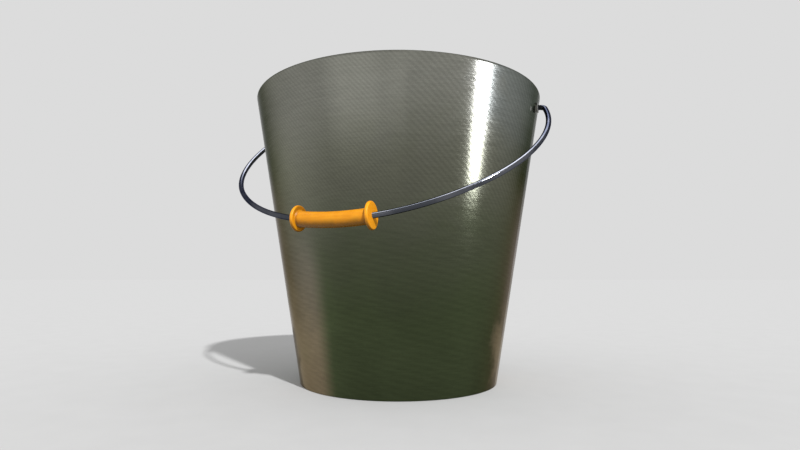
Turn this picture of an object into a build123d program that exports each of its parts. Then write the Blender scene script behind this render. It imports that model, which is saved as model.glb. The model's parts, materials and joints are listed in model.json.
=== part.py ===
"""Tapered sheet-steel milking pail with a wire bail and a moulded hand grip.

Frame: origin at the centre of the pail's foot, +Z up, X along the bail's pivot axis.
The bail lies lowered towards -Y, with its grip beside the front wall.
"""
import os
from math import asin, atan, cos, degrees, radians, sin

from build123d import *

# Pail (millimetres)
HEIGHT = 290.5
RIM_RADIUS = 150.0
BASE_RADIUS = 100.4
SHEET = 0.8
RIM_WIRE_RADIUS = 1.5
CURL_TURN = 285.0  # degrees that the sheet is rolled around the rim wire
RIM_WIRE_SLACK = 0.1
SEAM_WIDTH = 7.0
SEAM_RISE = 1.6

# Bottom
BOTTOM_RECESS = 9.0
BOTTOM_SKIRT_EDGE = 1.5
PANEL_RADIUS = 66.0
PANEL_RISE = 2.5
PANEL_STEP = 5.0
FOOT_RING_HEIGHT = 7.0
FOOT_RING_THICKNESS = 2.0

# Ears, which carry the bail at the two ends of the X axis
PIVOT_HEIGHT = 271.6
EAR_THICKNESS = 1.5
EAR_WIDTH = 58.0
EAR_HEIGHT = 30.0
EAR_DROP = 4.5  # the plate's centre lies this far below the pivot
BUSH_RADIUS = 5.0
BUSH_INNER_END = 141.3
BUSH_OUTER_END = 148.8
RIVET_SPREAD = 19.0
RIVET_DROP = 6.0
RIVET_RADIUS = 2.0
RIVET_HEAD_RADIUS = 3.8
RIVET_HEAD = 1.6
RIVET_SEAT_GAP = 0.15  # keeps a flat inner head off the hollow side of the ear plate

# Bail, drawn flat: s runs along the pivot axis, t from that axis towards the crown
BAIL_REST_ANGLE = 40.5  # degrees below horizontal
BAIL_REACH = 183.0
WIRE_RADIUS = 2.5
CROWN_RADIUS = 175.0
CROWN_HALF_ANGLE = 47.3
SHOULDER_RADIUS = 124.6
SHOULDER_END_ANGLE = 106.5
NECK_RADIUS = 7.0
TAIL_LENGTH = 9.0
RUNNING_CLEARANCE = 0.06

# Retaining washers
WASHER_RADIUS = 7.0
WASHER_THICKNESS = 1.4
END_PLAY = 0.2

# Grip
GRIP_LENGTH = 73.0
GRIP_RADIUS = 6.9
GRIP_REST_TURN = 0.6  # degrees along the crown, from its middle towards -X
LEFT_COLLAR_RADIUS = 11.4
RIGHT_COLLAR_RADIUS = 12.0
COLLAR_THICKNESS = 3.0
COLLAR_ROUNDING = 1.2
COLLAR_TILT = 4.0  # degrees that each collar's axis leans off the grip's middle axis
FLARE_LENGTH = 2.5
FLARE_RADIUS = 9.0
FLARE_OVERLAP = 0.8  # the flare's thin end lies this far inside the tube

TAPER = (RIM_RADIUS - BASE_RADIUS) / HEIGHT
TAPER_ANGLE = degrees(atan(TAPER))
SLANT = cos(radians(TAPER_ANGLE))
CURL_BORE = RIM_WIRE_RADIUS + RIM_WIRE_SLACK
CURL_RADIUS = CURL_BORE + SHEET


def wall_radius(height, depth=0.0):
    """Radius of the cone that lies `depth` inside the pail's outer surface."""
    return BASE_RADIUS + TAPER * height - depth / SLANT


def cone_band(depth_out, depth_in, low, high):
    """Solid ring between two depths under the outer surface, from one height to another."""
    profile = Polygon(
        (wall_radius(low, depth_out), low),
        (wall_radius(high, depth_out), high),
        (wall_radius(high, depth_in), high),
        (wall_radius(low, depth_in), low),
        align=None,
    )
    return revolve(Plane.XZ * profile, Axis.Z)


def curl_centre():
    """Radius and height of the rim wire's centre, inside the rolled rim."""
    height = HEIGHT - CURL_RADIUS
    return wall_radius(height, CURL_RADIUS), height


def curl_arc(radius, start, turn):
    """Arc in the wall's profile around the rim wire, from an angle above the horizontal."""
    across, up = curl_centre()
    angles = [radians(start + turn * step / 2) for step in range(3)]
    return ThreePointArc(*[(across + radius * cos(a), up + radius * sin(a)) for a in angles])


def rolled_sheet():
    """Tapered sheet whose upper edge is rolled inwards around the rim wire."""
    outside = curl_arc(CURL_RADIUS, -TAPER_ANGLE, CURL_TURN)
    inside = curl_arc(CURL_BORE, CURL_TURN - TAPER_ANGLE, -CURL_TURN)
    foot = [(wall_radius(0, SHEET), 0), (wall_radius(0), 0)]
    edges = [
        Line(foot[1], outside @ 0),
        outside,
        Line(outside @ 1, inside @ 0),
        inside,
        Line(inside @ 1, foot[0]),
        Line(*foot),
    ]
    return revolve(Plane.XZ * make_face(edges), Axis.Z)


def pivot_pin(radius, inner, outer):
    """Cylinder on the pivot axis, between two distances from the pail's axis on the +X side."""
    pin = Cylinder(radius, outer - inner, align=(Align.CENTER, Align.CENTER, Align.MIN))
    return Pos(inner, 0, PIVOT_HEIGHT) * Rot(0, 90, 0) * pin


def rivet_plane(side):
    """Plane on the outer surface at one of the +X ear's rivets, its z axis pointing outwards."""
    height = PIVOT_HEIGHT - RIVET_DROP
    azimuth = asin(side * RIVET_SPREAD / wall_radius(height))
    outwards = Vector(SLANT * cos(azimuth), SLANT * sin(azimuth), -TAPER * SLANT)
    foot = Vector(wall_radius(height) * cos(azimuth), side * RIVET_SPREAD, height)
    return Plane(origin=foot, z_dir=outwards)


def rivet_hole(side):
    """Cutter for one rivet's hole, long enough to pass the curved wall and ear plate."""
    return rivet_plane(side) * Cylinder(RIVET_RADIUS, 4 * (SHEET + EAR_THICKNESS))


def rivet(side):
    """Rivet dressed flush with the outer surface, with a rounded head inside the pail."""
    reach = SHEET + EAR_THICKNESS + RIVET_SEAT_GAP
    shank = Cylinder(RIVET_RADIUS, reach, align=(Align.CENTER, Align.CENTER, Align.MAX))
    head = Cylinder(RIVET_HEAD_RADIUS, RIVET_HEAD, align=(Align.CENTER, Align.CENTER, Align.MAX))
    head = fillet(head.edges().group_by(Axis.Z)[0], RIVET_HEAD * 0.6)
    return rivet_plane(side) * (shank + Pos(0, 0, -reach) * head)


def both_sides(shape):
    """The same piece at the +X ear and, mirrored, at the -X ear."""
    return {"right": shape, "left": mirror(shape, about=Plane.YZ)}


def ear_plate():
    """Curved plate inside the wall, with holes for the bush and two rivets."""
    half = EAR_HEIGHT / 2
    middle = PIVOT_HEIGHT - EAR_DROP
    band = cone_band(SHEET, SHEET + EAR_THICKNESS, middle - half, middle + half)
    outline = Plane.YZ * Pos(0, middle) * RectangleRounded(EAR_WIDTH, EAR_HEIGHT, 10)
    plate = band & extrude(outline, RIM_RADIUS)
    return plate - pivot_pin(BUSH_RADIUS, 0, RIM_RADIUS) - rivet_hole(-1) - rivet_hole(1)


def side_wall():
    """Tapered wall with its rolled rim, folded seam at the back, and the ears' holes."""
    wall = rolled_sheet() + back_seam()
    for side in (-1, 1):
        hole = rivet_hole(side)
        wall = wall - hole - mirror(hole, about=Plane.YZ)
    bush = pivot_pin(BUSH_RADIUS, 0, RIM_RADIUS)
    return wall - bush - mirror(bush, about=Plane.YZ)


def back_seam():
    """Grooved seam: a flat fold that stands proud of the wall along its back."""
    low = 1.0
    high = HEIGHT - 4 * CURL_RADIUS
    up_the_wall = Vector(0, TAPER * SLANT, SLANT)
    foot = Plane(origin=(0, wall_radius(low, SHEET / 2), low), x_dir=(1, 0, 0), z_dir=up_the_wall)
    fold = Box(
        SEAM_WIDTH,
        2 * (SEAM_RISE + SHEET / 2),
        (high - low) / SLANT,
        align=(Align.CENTER, Align.CENTER, Align.MIN),
    )
    outside = cone_band(-2 * SEAM_RISE, SHEET / 2, 0, HEIGHT - CURL_RADIUS)
    return foot * fold & outside


def rim_wire():
    """Ring of wire that stiffens the rolled rim."""
    radius, height = curl_centre()
    return Pos(0, 0, height) * Torus(radius, RIM_WIRE_RADIUS)


def bottom_disc():
    """Pressed bottom: a raised panel, a flat border and a skirt turned down inside the wall."""
    top = BOTTOM_RECESS + SHEET
    border = wall_radius(BOTTOM_RECESS, SHEET)
    step = PANEL_RADIUS + PANEL_STEP
    profile = Polygon(
        (0, BOTTOM_RECESS + PANEL_RISE),
        (PANEL_RADIUS, BOTTOM_RECESS + PANEL_RISE),
        (step, BOTTOM_RECESS),
        (border, BOTTOM_RECESS),
        (wall_radius(top, SHEET), top),
        (step, top),
        (PANEL_RADIUS, top + PANEL_RISE),
        (0, top + PANEL_RISE),
        align=None,
    )
    skirt = cone_band(SHEET, 2 * SHEET, BOTTOM_SKIRT_EDGE, top)
    return revolve(Plane.XZ * profile, Axis.Z) + skirt


def foot_ring():
    """Flat hoop inside the bottom's skirt, level with the wall's lower edge."""
    return cone_band(2 * SHEET, 2 * SHEET + FOOT_RING_THICKNESS, 0, FOOT_RING_HEIGHT)


def bail_plane():
    """Plane of the bent wire: x along the pivot axis, y towards the crown."""
    angle = radians(BAIL_REST_ANGLE)
    normal = (0, sin(angle), -cos(angle))
    return Plane(origin=(0, 0, PIVOT_HEIGHT), x_dir=(1, 0, 0), z_dir=normal)


def polar(centre, radius, angle):
    """Point at an angle in degrees from the crown's direction."""
    turn = radians(angle)
    return Vector(centre[0] + radius * sin(turn), centre[1] + radius * cos(turn))


def arc_around(centre, radius, start, end):
    """Arc of the bail between two angles from the crown's direction."""
    middle = (start + end) / 2
    ends = [polar(centre, radius, angle) for angle in (start, middle, end)]
    return ThreePointArc(*ends)


def bail_path():
    """Centre line of the right half of the wire, from the crown to the end of the tail."""
    crown = (0, BAIL_REACH - CROWN_RADIUS)
    shoulder = polar(crown, CROWN_RADIUS - SHOULDER_RADIUS, CROWN_HALF_ANGLE)
    shoulder = (shoulder.X, shoulder.Y)
    leg_start = polar(shoulder, SHOULDER_RADIUS, SHOULDER_END_ANGLE)
    leg = leg_start.Y / sin(radians(SHOULDER_END_ANGLE))
    corner = Vector(leg_start.X + leg * cos(radians(SHOULDER_END_ANGLE)), 0)
    bend = BUSH_INNER_END - 2 * END_PLAY - WASHER_THICKNESS - NECK_RADIUS
    tail = Vector(bend, -NECK_RADIUS - TAIL_LENGTH)
    return [
        arc_around(crown, CROWN_RADIUS, 0, CROWN_HALF_ANGLE),
        arc_around(shoulder, SHOULDER_RADIUS, CROWN_HALF_ANGLE, SHOULDER_END_ANGLE),
        FilletPolyline(leg_start, corner, Vector(bend, 0), tail, radius=NECK_RADIUS),
    ]


def bail_wire():
    """Round wire bent into an arch, its ends passed through the bushes and turned over."""
    path = Wire(Curve(bail_path()).edges())
    half = sweep(Plane(origin=path @ 0, z_dir=path % 0) * Circle(WIRE_RADIUS), path=path)
    return bail_plane() * (half + mirror(half, about=Plane.YZ))


def retaining_washer():
    """Washer on the wire between the bush's inner end and the turned-over tail."""
    outer = BUSH_INNER_END - END_PLAY
    inner = outer - WASHER_THICKNESS
    bore = pivot_pin(WIRE_RADIUS + RUNNING_CLEARANCE, inner, outer)
    return pivot_pin(WASHER_RADIUS, inner, outer) - bore


def bail_bush():
    """Plain bush through the wall and the ear plate, in which the wire turns."""
    bore = pivot_pin(WIRE_RADIUS + RUNNING_CLEARANCE, 0, RIM_RADIUS)
    return pivot_pin(BUSH_RADIUS, BUSH_INNER_END, BUSH_OUTER_END) - bore


def grip_tube():
    """Curved tube of the grip, solid, its ends buried in the middle of the collars."""
    turn = degrees((GRIP_LENGTH - COLLAR_THICKNESS) / 2 / CROWN_RADIUS)
    crown = (0, BAIL_REACH - CROWN_RADIUS)
    along = (cos(radians(turn)), sin(radians(turn)), 0)
    section = Plane(origin=polar(crown, CROWN_RADIUS, -turn), z_dir=along) * Circle(GRIP_RADIUS)
    return revolve(section, Axis((*crown, 0), (0, 0, 1)), -2 * turn)


def grip_collar(radius):
    """Round-edged collar at the grip's right end, with a flare towards the tube."""
    turn = degrees(GRIP_LENGTH / 2 / CROWN_RADIUS)
    tilt = radians(COLLAR_TILT)
    low = (Align.CENTER, Align.CENTER, Align.MIN)
    disc = Cylinder(radius, COLLAR_THICKNESS, align=low)
    disc = fillet(disc.edges().filter_by(GeomType.CIRCLE), COLLAR_ROUNDING)
    flare = Cone(FLARE_RADIUS, GRIP_RADIUS - FLARE_OVERLAP, FLARE_LENGTH + COLLAR_THICKNESS / 2, align=low)
    end = Plane(
        origin=polar((0, BAIL_REACH - CROWN_RADIUS), CROWN_RADIUS, turn),
        z_dir=(-cos(tilt), sin(tilt), 0),
    )
    return end * (disc + Pos(0, 0, COLLAR_THICKNESS / 2) * flare)


def grip():
    """Moulded grip that follows the crown's curve, bored to slide along the wire."""
    left = mirror(grip_collar(LEFT_COLLAR_RADIUS), about=Plane.YZ)
    moulding = grip_tube() + left + grip_collar(RIGHT_COLLAR_RADIUS)
    crown = Pos(0, BAIL_REACH - CROWN_RADIUS)
    bore = crown * Torus(CROWN_RADIUS, WIRE_RADIUS + RUNNING_CLEARANCE)
    along_crown = crown * Rot(0, 0, GRIP_REST_TURN) * crown.inverse()
    return bail_plane() * along_crown * (moulding - bore)


def main():
    os.makedirs("parts", exist_ok=True)
    nodes = {
        "side_wall": side_wall(),
        "rim_wire": rim_wire(),
        "bottom_disc": bottom_disc(),
        "foot_ring": foot_ring(),
        "bail_wire": bail_wire(),
        "grip": grip(),
    }
    rivets = Compound(children=[rivet(-1), rivet(1)])
    pairs = {
        "ear_plate": ear_plate(),
        "ear_rivets": rivets,
        "bail_bush": bail_bush(),
        "retaining_washer": retaining_washer(),
    }
    for name, shape in pairs.items():
        for side, placed in both_sides(shape).items():
            nodes[f"{name}_{side}"] = placed
    for name, shape in nodes.items():
        export_step(shape, f"parts/{name}.step")


main()
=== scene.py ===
"""Looks of the milking pail: its materials, and the floor, lights and camera around it."""
import json
import math

import bpy
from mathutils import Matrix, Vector


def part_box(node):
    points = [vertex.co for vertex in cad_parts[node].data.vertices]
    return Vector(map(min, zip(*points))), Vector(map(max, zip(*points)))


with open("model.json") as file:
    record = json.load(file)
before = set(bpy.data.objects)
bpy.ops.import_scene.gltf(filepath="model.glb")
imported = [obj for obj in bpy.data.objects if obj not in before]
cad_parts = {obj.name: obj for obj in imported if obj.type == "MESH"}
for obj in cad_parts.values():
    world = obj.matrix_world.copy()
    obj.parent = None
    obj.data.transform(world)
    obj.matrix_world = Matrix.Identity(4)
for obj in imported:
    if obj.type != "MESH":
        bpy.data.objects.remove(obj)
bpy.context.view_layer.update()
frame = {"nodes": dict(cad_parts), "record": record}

# Camera: how far from the pail's axis and above its foot it stands, and where it looks
CAMERA_DISTANCE = 0.5655
CAMERA_HEIGHT = 0.1041
CAMERA_AZIMUTH = math.radians(22.6)
CAMERA_YAW = math.radians(0.15)
CAMERA_PITCH = math.radians(5.77)
LENS_MM = 23.89
SENSOR_MM = 36.0

FLOOR_GAP = 0.0003  # keeps the floor off the pail's lower edge
FLOOR_RADIUS = 60

MEAN_RADIUS = 0.125  # of the wall, for laying its sheet flat
WAVE_SCALE = 0.314  # the wave texture's Scale, times the spacing of its lines

# The grip's middle along X, and the way the side with its painted shade faces: down, and a little
# back
GRIP_MIDDLE = (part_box("grip")[0][0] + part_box("grip")[1][0]) / 2
GRIP_SHADED_SIDE = (0.0, 0.10, -0.99)

# Sun: degrees round from the pail's front, degrees up, its width in the sky, and its power
SUN_AZIMUTH = 48.7
SUN_ELEVATION = 40.5
SUN_SOFTNESS = 2.5
SUN_POWER = 3.25

SURROUND_GREY = (0.715, 0.715, 0.715, 1)

# Boxes of light in front of the pail: name, azimuth, width and power
FRONT_BOXES = (("front_wide", -2, 3.4, 2.6), ("front_narrow", -8, 1.7, 1.0))
FRONT_BOX_HEIGHT = 1.6

# Strip that makes the highlight down the wall
STRIP_SIZE = (0.22, 0.46)
STRIP_PLACE = (1.30, -0.12, 0.30)
STRIP_TARGET = (0.1, -0.12, 0.2)
STRIP_POWER = 7.0
STRIP_COLOUR = (0.92, 0.92, 1.02)

# Light overhead that makes the wire's bright line
GLINT_SIZE = (1.6, 1.6)
GLINT_PLACE = (0, 0, 1.8)
GLINT_POWER = 64

WALL_NODES = ("side_wall", "rim_wire")
THIN_NODES = ("bail_wire", "grip")


class Nodes:
    """Short way to write a material's node tree."""

    def __init__(self, name):
        self.material = bpy.data.materials.new(name)
        self.material.use_nodes = True
        self.tree = self.material.node_tree
        self.shader = self.tree.nodes["Principled BSDF"]

    def add(self, kind, inputs=(), **settings):
        """Adds a node. An input is a value, or the output that feeds it."""
        node = self.tree.nodes.new(kind)
        for key, value in settings.items():
            setattr(node, key, value)
        for key, value in dict(inputs).items():
            self.put(node.inputs[key], value)
        return node

    def put(self, socket, value):
        if isinstance(value, bpy.types.NodeSocket):
            self.tree.links.new(value, socket)
        else:
            socket.default_value = value

    def math(self, operation, first, second=0.0, clamp=False):
        inputs = {0: first, 1: second}
        node = self.add("ShaderNodeMath", inputs, operation=operation, use_clamp=clamp)
        return node.outputs[0]

    def dot(self, first, second):
        inputs = {0: first, 1: second}
        node = self.add("ShaderNodeVectorMath", inputs, operation="DOT_PRODUCT")
        return node.outputs["Value"]

    def noise(self, vector, scale, detail=3.0, roughness=0.55, distortion=0.0):
        inputs = {
            "Vector": vector,
            "Scale": scale,
            "Detail": detail,
            "Roughness": roughness,
            "Distortion": distortion,
        }
        return self.add("ShaderNodeTexNoise", inputs).outputs["Fac"]

    def ramp(self, value, low, high, start=0.0, end=1.0):
        """Maps a value from one range to another, smoothly and clamped."""
        inputs = {
            "Value": value,
            "From Min": low,
            "From Max": high,
            "To Min": start,
            "To Max": end,
        }
        node = self.add("ShaderNodeMapRange", inputs, interpolation_type="SMOOTHSTEP")
        return node.outputs["Result"]

    def mix(self, factor, first, second, blend="MIX"):
        """Mixes two colours."""
        node = self.add("ShaderNodeMix", data_type="RGBA", blend_type=blend)
        self.put(node.inputs["Factor"], factor)
        self.put(node.inputs[6], first)
        self.put(node.inputs[7], second)
        return node.outputs[2]

    def blend(self, factor, first, second):
        """Mixes two plain values."""
        inputs = {"Factor": factor, 2: first, 3: second}
        return self.add("ShaderNodeMix", inputs, data_type="FLOAT").outputs[0]

    def shade(self, colour, factor, dark, light):
        """Multiplies a colour by a grey between two levels."""
        level = self.blend(factor, dark, light)
        grey = self.add("ShaderNodeCombineColor", {0: level, 1: level, 2: level}).outputs[0]
        return self.mix(1.0, colour, grey, "MULTIPLY")

    def bump(self, height, distance, normal=None):
        inputs = {"Height": height, "Distance": distance, "Strength": 1.0}
        if normal is not None:
            inputs["Normal"] = normal
        return self.add("ShaderNodeBump", inputs).outputs["Normal"]

    def stretched(self, vector, scale=(1, 1, 1), rotation=(0, 0, 0)):
        inputs = {"Vector": vector, "Scale": scale, "Rotation": rotation}
        return self.add("ShaderNodeMapping", inputs).outputs["Vector"]

    def finish(self, colour, roughness, normal, metallic):
        self.put(self.shader.inputs["Base Color"], colour)
        self.put(self.shader.inputs["Metallic"], metallic)
        self.put(self.shader.inputs["Roughness"], roughness)
        self.put(self.shader.inputs["Normal"], normal)


def position(n):
    return n.add("ShaderNodeTexCoord").outputs["Object"]


def unrolled(n):
    """The sheet laid flat (metres round from its front, up and outwards), its height and azimuth."""
    x, y, z = n.add("ShaderNodeSeparateXYZ", {0: position(n)}).outputs
    azimuth = n.math("ARCTAN2", x, n.math("MULTIPLY", y, -1.0))
    around = n.math("MULTIPLY", azimuth, MEAN_RADIUS)
    squares = n.math("ADD", n.math("POWER", x, 2.0), n.math("POWER", y, 2.0))
    radius = n.math("SQRT", squares)
    flat = n.add("ShaderNodeCombineXYZ", {0: around, 1: z, 2: radius}).outputs[0]
    return flat, z, azimuth


def inner_faces(n, height):
    """1 on the faces that look into the pail: the wall's inside and the top of the bottom."""
    where = n.add("ShaderNodeTexCoord").outputs
    outwards = n.dot(where["Normal"], where["Object"])
    up = n.add("ShaderNodeSeparateXYZ", {0: where["Normal"]}).outputs[2]
    bottom = n.math("MULTIPLY", n.ramp(up, 0.5, 0.9), n.ramp(height, 0.05, 0.03))
    return n.math("MAXIMUM", n.ramp(outwards, -0.01, -0.05), bottom)


def hatch(n, flat, angle, spacing, distortion):
    """Fine parallel lines on the laid-flat sheet, falling to the right by an angle in degrees."""
    inputs = {
        "Vector": n.stretched(flat, rotation=(0, 0, math.radians(angle))),
        "Scale": WAVE_SCALE / spacing,
        "Distortion": distortion,
        "Detail": 2.0,
        "Detail Scale": 0.35,
    }
    wave = n.add("ShaderNodeTexWave", inputs, wave_type="BANDS", bands_direction="Y")
    return wave.outputs["Fac"]


def hatching(n, flat, height, azimuth):
    """Steep fine lines at the upper left, wider ones at the upper right, nearly level ones below."""
    fine = hatch(n, flat, 51, 0.0028, 0.7)
    wide = hatch(n, flat, 46, 0.0040, 0.9)
    level = n.ramp(hatch(n, flat, 13, 0.0055, 1.8), 0.0, 1.0, 0.25, 0.75)
    upper = n.blend(n.ramp(azimuth, 0.25, 0.55), fine, wide)
    return n.blend(n.ramp(height, 0.20, 0.11), upper, level)


def painted_reflection_tone(n, uneven_height, ragged):
    """Painted reflection: olive at the foot, grey at the rim, and a cooler grey at the rim's right.
    """
    foot, low = (0.055, 0.070, 0.034, 1), (0.084, 0.092, 0.060, 1)
    middle = (0.130, 0.133, 0.101, 1)
    rim, cool_rim = (0.246, 0.247, 0.214, 1), (0.213, 0.228, 0.212, 1)
    colour = n.mix(n.ramp(uneven_height, 0.06, 0.17), foot, low)
    colour = n.mix(n.ramp(uneven_height, 0.13, 0.20), colour, middle)
    top = n.mix(n.ramp(ragged, 0.7, 1.3), rim, cool_rim)
    return n.mix(n.ramp(uneven_height, 0.19, 0.28), colour, top)


def painted_side_bands(n, uneven_height, ragged, wavy):
    """Where the two brown bands of painted reflection run, left and right of the front, stronger
    towards the foot.
    """
    left = n.math("MULTIPLY", n.ramp(ragged, -1.35, -0.60), n.ramp(wavy, -0.16, -0.36))
    right = n.math("MULTIPLY", n.ramp(ragged, 1.35, 1.75), n.ramp(ragged, 2.9, 2.1))
    strength = n.ramp(uneven_height, 0.21, 0.10, 0.0, 0.95)
    return n.math("MULTIPLY", n.math("ADD", left, right), strength)


def pail_steel():
    """Dark rolled sheet: fine diagonal grain, speckle, and a painted reflection that turns olive and
    brown towards the foot.
    """
    n = Nodes("pail_steel")
    flat, height, azimuth = unrolled(n)
    cloud = n.noise(flat, 11.0, detail=6, roughness=0.62, distortion=0.5)
    speckle = n.noise(flat, 1100.0, detail=2, roughness=0.7)
    streak = n.noise(n.stretched(flat, scale=(60, 700, 60)), 1.0, detail=3, roughness=0.6)
    lines = hatching(n, flat, height, azimuth)

    # Height and azimuth with uneven borders
    uneven_height = n.math("ADD", height, n.ramp(cloud, 0.3, 0.7, -0.012, 0.012))
    ragged = n.math("ADD", azimuth, n.ramp(cloud, 0.3, 0.7, -0.25, 0.25))
    wavy = n.math("ADD", azimuth, n.ramp(streak, 0.3, 0.7, -0.012, 0.012))

    # Outside, with painted light making the sheet paler at its upper left
    # Brown bands of painted reflection at both sides, towards the foot
    painted_band_mask = painted_side_bands(n, uneven_height, ragged, wavy)
    upper_band_colour, foot_band_colour = (0.180, 0.171, 0.140, 1), (0.235, 0.186, 0.120, 1)
    painted_band_colour = n.mix(n.ramp(uneven_height, 0.16, 0.01), upper_band_colour, foot_band_colour)
    painted_lit_left = n.math("MULTIPLY", n.ramp(azimuth, 0.05, -0.50), n.ramp(height, 0.27, 0.19))
    colour = n.shade(painted_reflection_tone(n, uneven_height, ragged), painted_lit_left, 1.0, 1.65)
    colour = n.mix(painted_band_mask, colour, painted_band_colour)
    colour = n.shade(colour, lines, 0.93, 1.07)
    colour = n.shade(colour, n.ramp(speckle, 0.35, 0.65), 0.95, 1.05)
    colour = n.shade(colour, n.ramp(streak, 0.3, 0.7), 0.94, 1.06)
    colour = n.shade(colour, n.ramp(cloud, 0.3, 0.75), 1.08, 0.86)

    # Inside: lighter, with a milky bloom, darker in the corner at the bottom
    inside = inner_faces(n, height)
    bloom, worn, corner = (0.56, 0.56, 0.53, 1), (0.43, 0.425, 0.385, 1), (0.30, 0.28, 0.23, 1)
    milky = n.mix(n.ramp(cloud, 0.35, 0.7), bloom, worn)
    milky = n.mix(n.ramp(uneven_height, 0.03, 0.008, 0.0, 0.6), milky, corner)
    milky = n.shade(milky, n.ramp(streak, 0.3, 0.7), 0.88, 1.08)
    colour = n.mix(inside, colour, milky)

    uneven = n.ramp(cloud, 0.3, 0.75, 0.14, 0.19)
    rough = n.math("ADD", uneven, n.ramp(streak, 0.3, 0.7, -0.02, 0.02))
    rough = n.math("ADD", rough, n.ramp(speckle, 0.58, 0.75, 0.0, 0.12), clamp=True)
    rough = n.math("ADD", rough, n.math("MULTIPLY", inside, 0.12), clamp=True)
    normal = n.bump(lines, 0.00001)
    normal = n.bump(streak, 0.00002, normal)
    normal = n.bump(speckle, 0.00003, normal)
    n.finish(colour, rough, normal, metallic=1.0)

    # Brightness where the sheet is seen edge-on: stronger at the foot, where the sheet is dark
    foot_edge, rim_edge = (0.62, 0.54, 0.52, 1), (0.27, 0.28, 0.26, 1)
    upper_band_edge, foot_band_edge = (0.44, 0.41, 0.35, 1), (0.80, 0.73, 0.62, 1)
    edge = n.mix(n.ramp(uneven_height, 0.10, 0.22), foot_edge, rim_edge)
    painted_band_edge = n.mix(n.ramp(uneven_height, 0.11, 0.02), upper_band_edge, foot_band_edge)
    edge = n.mix(inside, n.mix(painted_band_mask, edge, painted_band_edge), (1.0, 1.0, 1.0, 1))
    n.put(n.shader.inputs["Specular Tint"], edge)
    return n.material


def wire_steel():
    """Drawn wire: dark blue-grey, finely grained, in lighter and darker patches."""
    n = Nodes("wire_steel")
    where = position(n)
    grain = n.noise(where, 420.0, detail=4, roughness=0.65)
    patches = n.noise(where, 28.0, detail=4)
    dark, light = (0.065, 0.070, 0.083, 1), (0.125, 0.130, 0.148, 1)
    colour = n.mix(n.ramp(patches, 0.35, 0.7), dark, light)
    rough = n.ramp(grain, 0.3, 0.75, 0.08, 0.17)
    n.finish(colour, rough, n.bump(grain, 0.00003), metallic=1.0)
    n.put(n.shader.inputs["Specular Tint"], (0.30, 0.30, 0.34, 1))
    return n.material


def fitting_steel():
    """Bushes, washers and rivets: bare steel, a little tarnished."""
    n = Nodes("fitting_steel")
    where = position(n)
    grain = n.noise(where, 600.0, detail=3)
    patches = n.noise(where, 120.0, detail=4)
    dark, light = (0.13, 0.13, 0.115, 1), (0.24, 0.24, 0.225, 1)
    colour = n.mix(n.ramp(patches, 0.35, 0.7), dark, light)
    rough = n.ramp(grain, 0.3, 0.75, 0.28, 0.45)
    n.finish(colour, rough, n.bump(grain, 0.00003), metallic=1.0)
    return n.material


def grip_plastic():
    """Orange moulded plastic: satin skin, flow lines, collars painted brighter than the tube, and
    painted shade in its creases and underneath.
    """
    n = Nodes("grip_plastic")
    where = position(n)
    mottle = n.noise(where, 70.0, detail=4)
    skin = n.noise(where, 1500.0, detail=2)
    flow = n.noise(n.stretched(where, scale=(30, 600, 600)), 1.0, detail=4)
    deep, bright = (0.74, 0.275, 0.005, 1), (0.84, 0.340, 0.010, 1)
    flow_colour = (0.55, 0.190, 0.004, 1)
    crease_shade, underside_shade_colour = (0.30, 0.110, 0.003, 1), (0.13, 0.055, 0.002, 1)

    colour = n.mix(n.ramp(mottle, 0.3, 0.7), deep, bright)
    colour = n.mix(n.ramp(flow, 0.35, 0.7, 0.0, 0.30), colour, flow_colour)

    # Along the grip: painted light makes the collars brighter than the tube, and painted shade
    # darkens the creases between them
    x = n.add("ShaderNodeSeparateXYZ", {0: where}).outputs[0]
    along = n.math("ABSOLUTE", n.math("SUBTRACT", x, GRIP_MIDDLE))
    colour = n.shade(colour, n.ramp(along, 0.0320, 0.0300), 1.10, 0.88)
    # Painted shade in the creases where the tube meets the collars
    corner = n.math("MULTIPLY", n.ramp(along, 0.0300, 0.0325), n.ramp(along, 0.0340, 0.0330))
    colour = n.mix(n.math("MULTIPLY", corner, 0.75), colour, crease_shade)

    # Painted shade on the grip's side that faces down and a little back
    facing = n.dot(n.add("ShaderNodeTexCoord").outputs["Normal"], GRIP_SHADED_SIDE)
    underside_shade = n.math("ADD", facing, n.ramp(mottle, 0.3, 0.7, -0.12, 0.12))
    colour = n.mix(n.ramp(underside_shade, -0.25, 0.80, 0.0, 0.90), colour, underside_shade_colour)

    rough = n.ramp(flow, 0.35, 0.75, 0.34, 0.50)
    normal = n.bump(flow, 0.00006, n.bump(skin, 0.00003))
    n.finish(colour, rough, normal, metallic=0.0)
    n.put(n.shader.inputs["Specular IOR Level"], 0.25)
    return n.material


def floor_material():
    n = Nodes("floor")
    grain = n.noise(position(n), 30.0, detail=2)
    colour = n.mix(grain, (0.51, 0.51, 0.51, 1), (0.54, 0.54, 0.54, 1))
    n.put(n.shader.inputs["Base Color"], colour)
    n.put(n.shader.inputs["Roughness"], 0.9)
    n.put(n.shader.inputs["Specular IOR Level"], 0.0)
    return n.material


def dress(materials):
    """Gives every CAD node the material of its slot."""
    slots = {entry["node"]: entry["material_slot"] for entry in frame["record"]["subparts"]}
    for name, node in frame["nodes"].items():
        node.data.materials.clear()
        node.data.materials.append(materials[slots[name]])


def calm_reflections():
    """The satin wall shows no picture of the thin wire and grip beside it."""
    for name in THIN_NODES:
        frame["nodes"][name].visible_glossy = False


def make_floor():
    bpy.ops.mesh.primitive_circle_add(vertices=96, radius=FLOOR_RADIUS, fill_type="NGON")
    floor = bpy.context.object
    floor.name = "floor"
    floor.location.z = -FLOOR_GAP
    floor.data.materials.append(floor_material())


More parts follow.
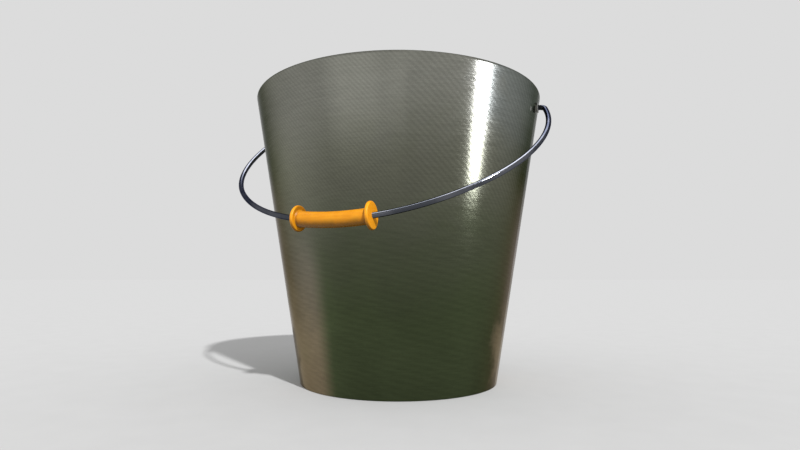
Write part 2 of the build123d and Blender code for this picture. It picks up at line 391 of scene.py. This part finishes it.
def add_light(lamp, place, target, power, only=(), but=(), unblocked_by=()):
    """Lights can be kept to some nodes, kept off some, and be let past thin ones."""
    name = lamp.name
    lamp.energy = power
    light = bpy.data.objects.new(name, lamp)
    light.location = place
    aim = Vector(target) - Vector(place)
    light.rotation_euler = aim.to_track_quat("-Z", "Y").to_euler()
    light.visible_camera = False
    linking = light.light_linking
    if only or but:
        linking.receiver_collection = linked(name + "_receivers", only or but, bool(but))
    if unblocked_by:
        linking.blocker_collection = linked(name + "_blockers", unblocked_by, True)
    bpy.context.collection.objects.link(light)


def linked(name, nodes, exclude):
    """A collection that a light is kept to, or kept off."""
    group = bpy.data.collections.new(name)
    for node in nodes:
        group.objects.link(frame["nodes"][node])
    for entry in group.collection_objects:
        entry.light_linking.link_state = "EXCLUDE" if exclude else "INCLUDE"
    return group


def area(name, size, colour=(1, 1, 1)):
    lamp = bpy.data.lights.new(name, "AREA")
    lamp.shape = "RECTANGLE"
    lamp.size, lamp.size_y = size
    lamp.color = colour
    return lamp


def around_pail(azimuth, distance, height):
    """Place seen from the pail's axis: azimuth 0 is in front (-Y), positive to the +X side."""
    turn = math.radians(azimuth)
    return (math.sin(turn) * distance, -math.cos(turn) * distance, height)


def make_surround():
    world = bpy.data.worlds.new("studio")
    bpy.context.scene.world = world
    world.use_nodes = True
    background = world.node_tree.nodes["Background"]
    background.inputs["Color"].default_value = SURROUND_GREY
    background.inputs["Strength"].default_value = 1.0


def make_lights():
    """A soft sun from the right, boxes in front, and one light each for the wall and the wire."""
    sun = bpy.data.lights.new("sun", "SUN")
    sun.angle = math.radians(SUN_SOFTNESS)
    away = 2.0
    sun_place = around_pail(SUN_AZIMUTH, away, away * math.tan(math.radians(SUN_ELEVATION)))
    add_light(sun, sun_place, (0, 0, 0), SUN_POWER, but=WALL_NODES)

    for name, azimuth, width, power in FRONT_BOXES:
        box = area(name, (width, FRONT_BOX_HEIGHT))
        place = around_pail(azimuth, 3.0, 0.5)
        add_light(box, place, (0, 0, 0.2), power, only=tuple(frame["nodes"]))

    strip = area("strip", STRIP_SIZE, STRIP_COLOUR)
    add_light(strip, STRIP_PLACE, STRIP_TARGET, STRIP_POWER, only=WALL_NODES, unblocked_by=THIN_NODES)
    glint = area("glint", GLINT_SIZE)
    add_light(glint, GLINT_PLACE, (0, 0, 0), GLINT_POWER, only=("bail_wire",))


def make_camera():
    data = bpy.data.cameras.new("camera")
    data.lens = LENS_MM
    data.sensor_width = SENSOR_MM
    camera = bpy.data.objects.new("camera", data)
    side = math.sin(CAMERA_AZIMUTH)
    front = math.cos(CAMERA_AZIMUTH)
    camera.location = (CAMERA_DISTANCE * side, -CAMERA_DISTANCE * front, CAMERA_HEIGHT)
    camera.rotation_euler = (math.pi / 2 + CAMERA_PITCH, 0, CAMERA_AZIMUTH - CAMERA_YAW)
    bpy.context.collection.objects.link(camera)
    bpy.context.scene.camera = camera


dress(
    {
        "pail_steel": pail_steel(),
        "wire_steel": wire_steel(),
        "fitting_steel": fitting_steel(),
        "grip_plastic": grip_plastic(),
    }
)
calm_reflections()
make_floor()
make_surround()
make_lights()
make_camera()
bpy.context.scene.view_settings.view_transform = "Standard"
